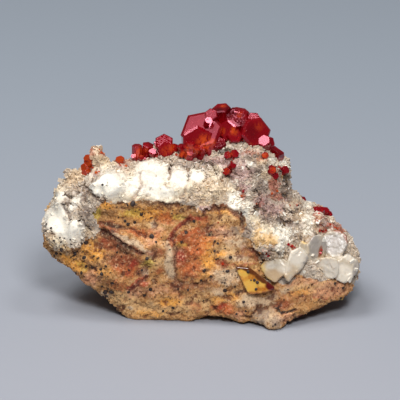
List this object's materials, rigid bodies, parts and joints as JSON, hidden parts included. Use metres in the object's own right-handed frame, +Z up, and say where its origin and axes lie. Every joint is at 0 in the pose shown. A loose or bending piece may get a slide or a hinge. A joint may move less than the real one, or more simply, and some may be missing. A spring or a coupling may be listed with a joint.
{
  "type": "vanadinite mineral specimen on matrix",
  "caption": "Free-standing mineral specimen: a crown of blood-red six-sided vanadinite crystals on white baryte crust over iron-stained rock, for display on a flat surface.",
  "frame": {"origin": "under the middle of the specimen's bounding box, on the plane it rests on", "axes": "+Z up, +X to the right of the show face along the specimen's length, and the show face looks towards -Y"},
  "size_m": [0.062, 0.034, 0.0396],
  "materials": {
    "iron_stained_rock": "matt, gritty rock stained ochre, rust and brown, with black specks, under a white to grey crust of sugary baryte",
    "vanadinite": "deep crimson to orange-red translucent crystal with a bright resinous lustre on flat faces",
    "baryte": "white to pale grey translucent blades with a soft glassy to pearly lustre",
    "amber_baryte": "honey to amber translucent blade, glassy, with rust along its lower edge"
  },
  "bodies": {
    "root": {"matrix_block": "iron_stained_rock", "crown_crystals": "vanadinite", "ridge_crystals": "vanadinite", "amber_crystal": "vanadinite", "left_edge_crystals": "vanadinite", "slope_crystals_upper": "vanadinite", "slope_crystal_under_crown": "vanadinite", "slope_crystals_middle": "vanadinite", "slope_crystals_right": "vanadinite", "cliff_crystal": "vanadinite", "shoulder_crystals": "vanadinite", "back_slope_crystals": "vanadinite", "back_shoulder_crystals": "vanadinite", "baryte_blades": "baryte", "amber_blade": "amber_baryte"}
  },
  "joints": []
}
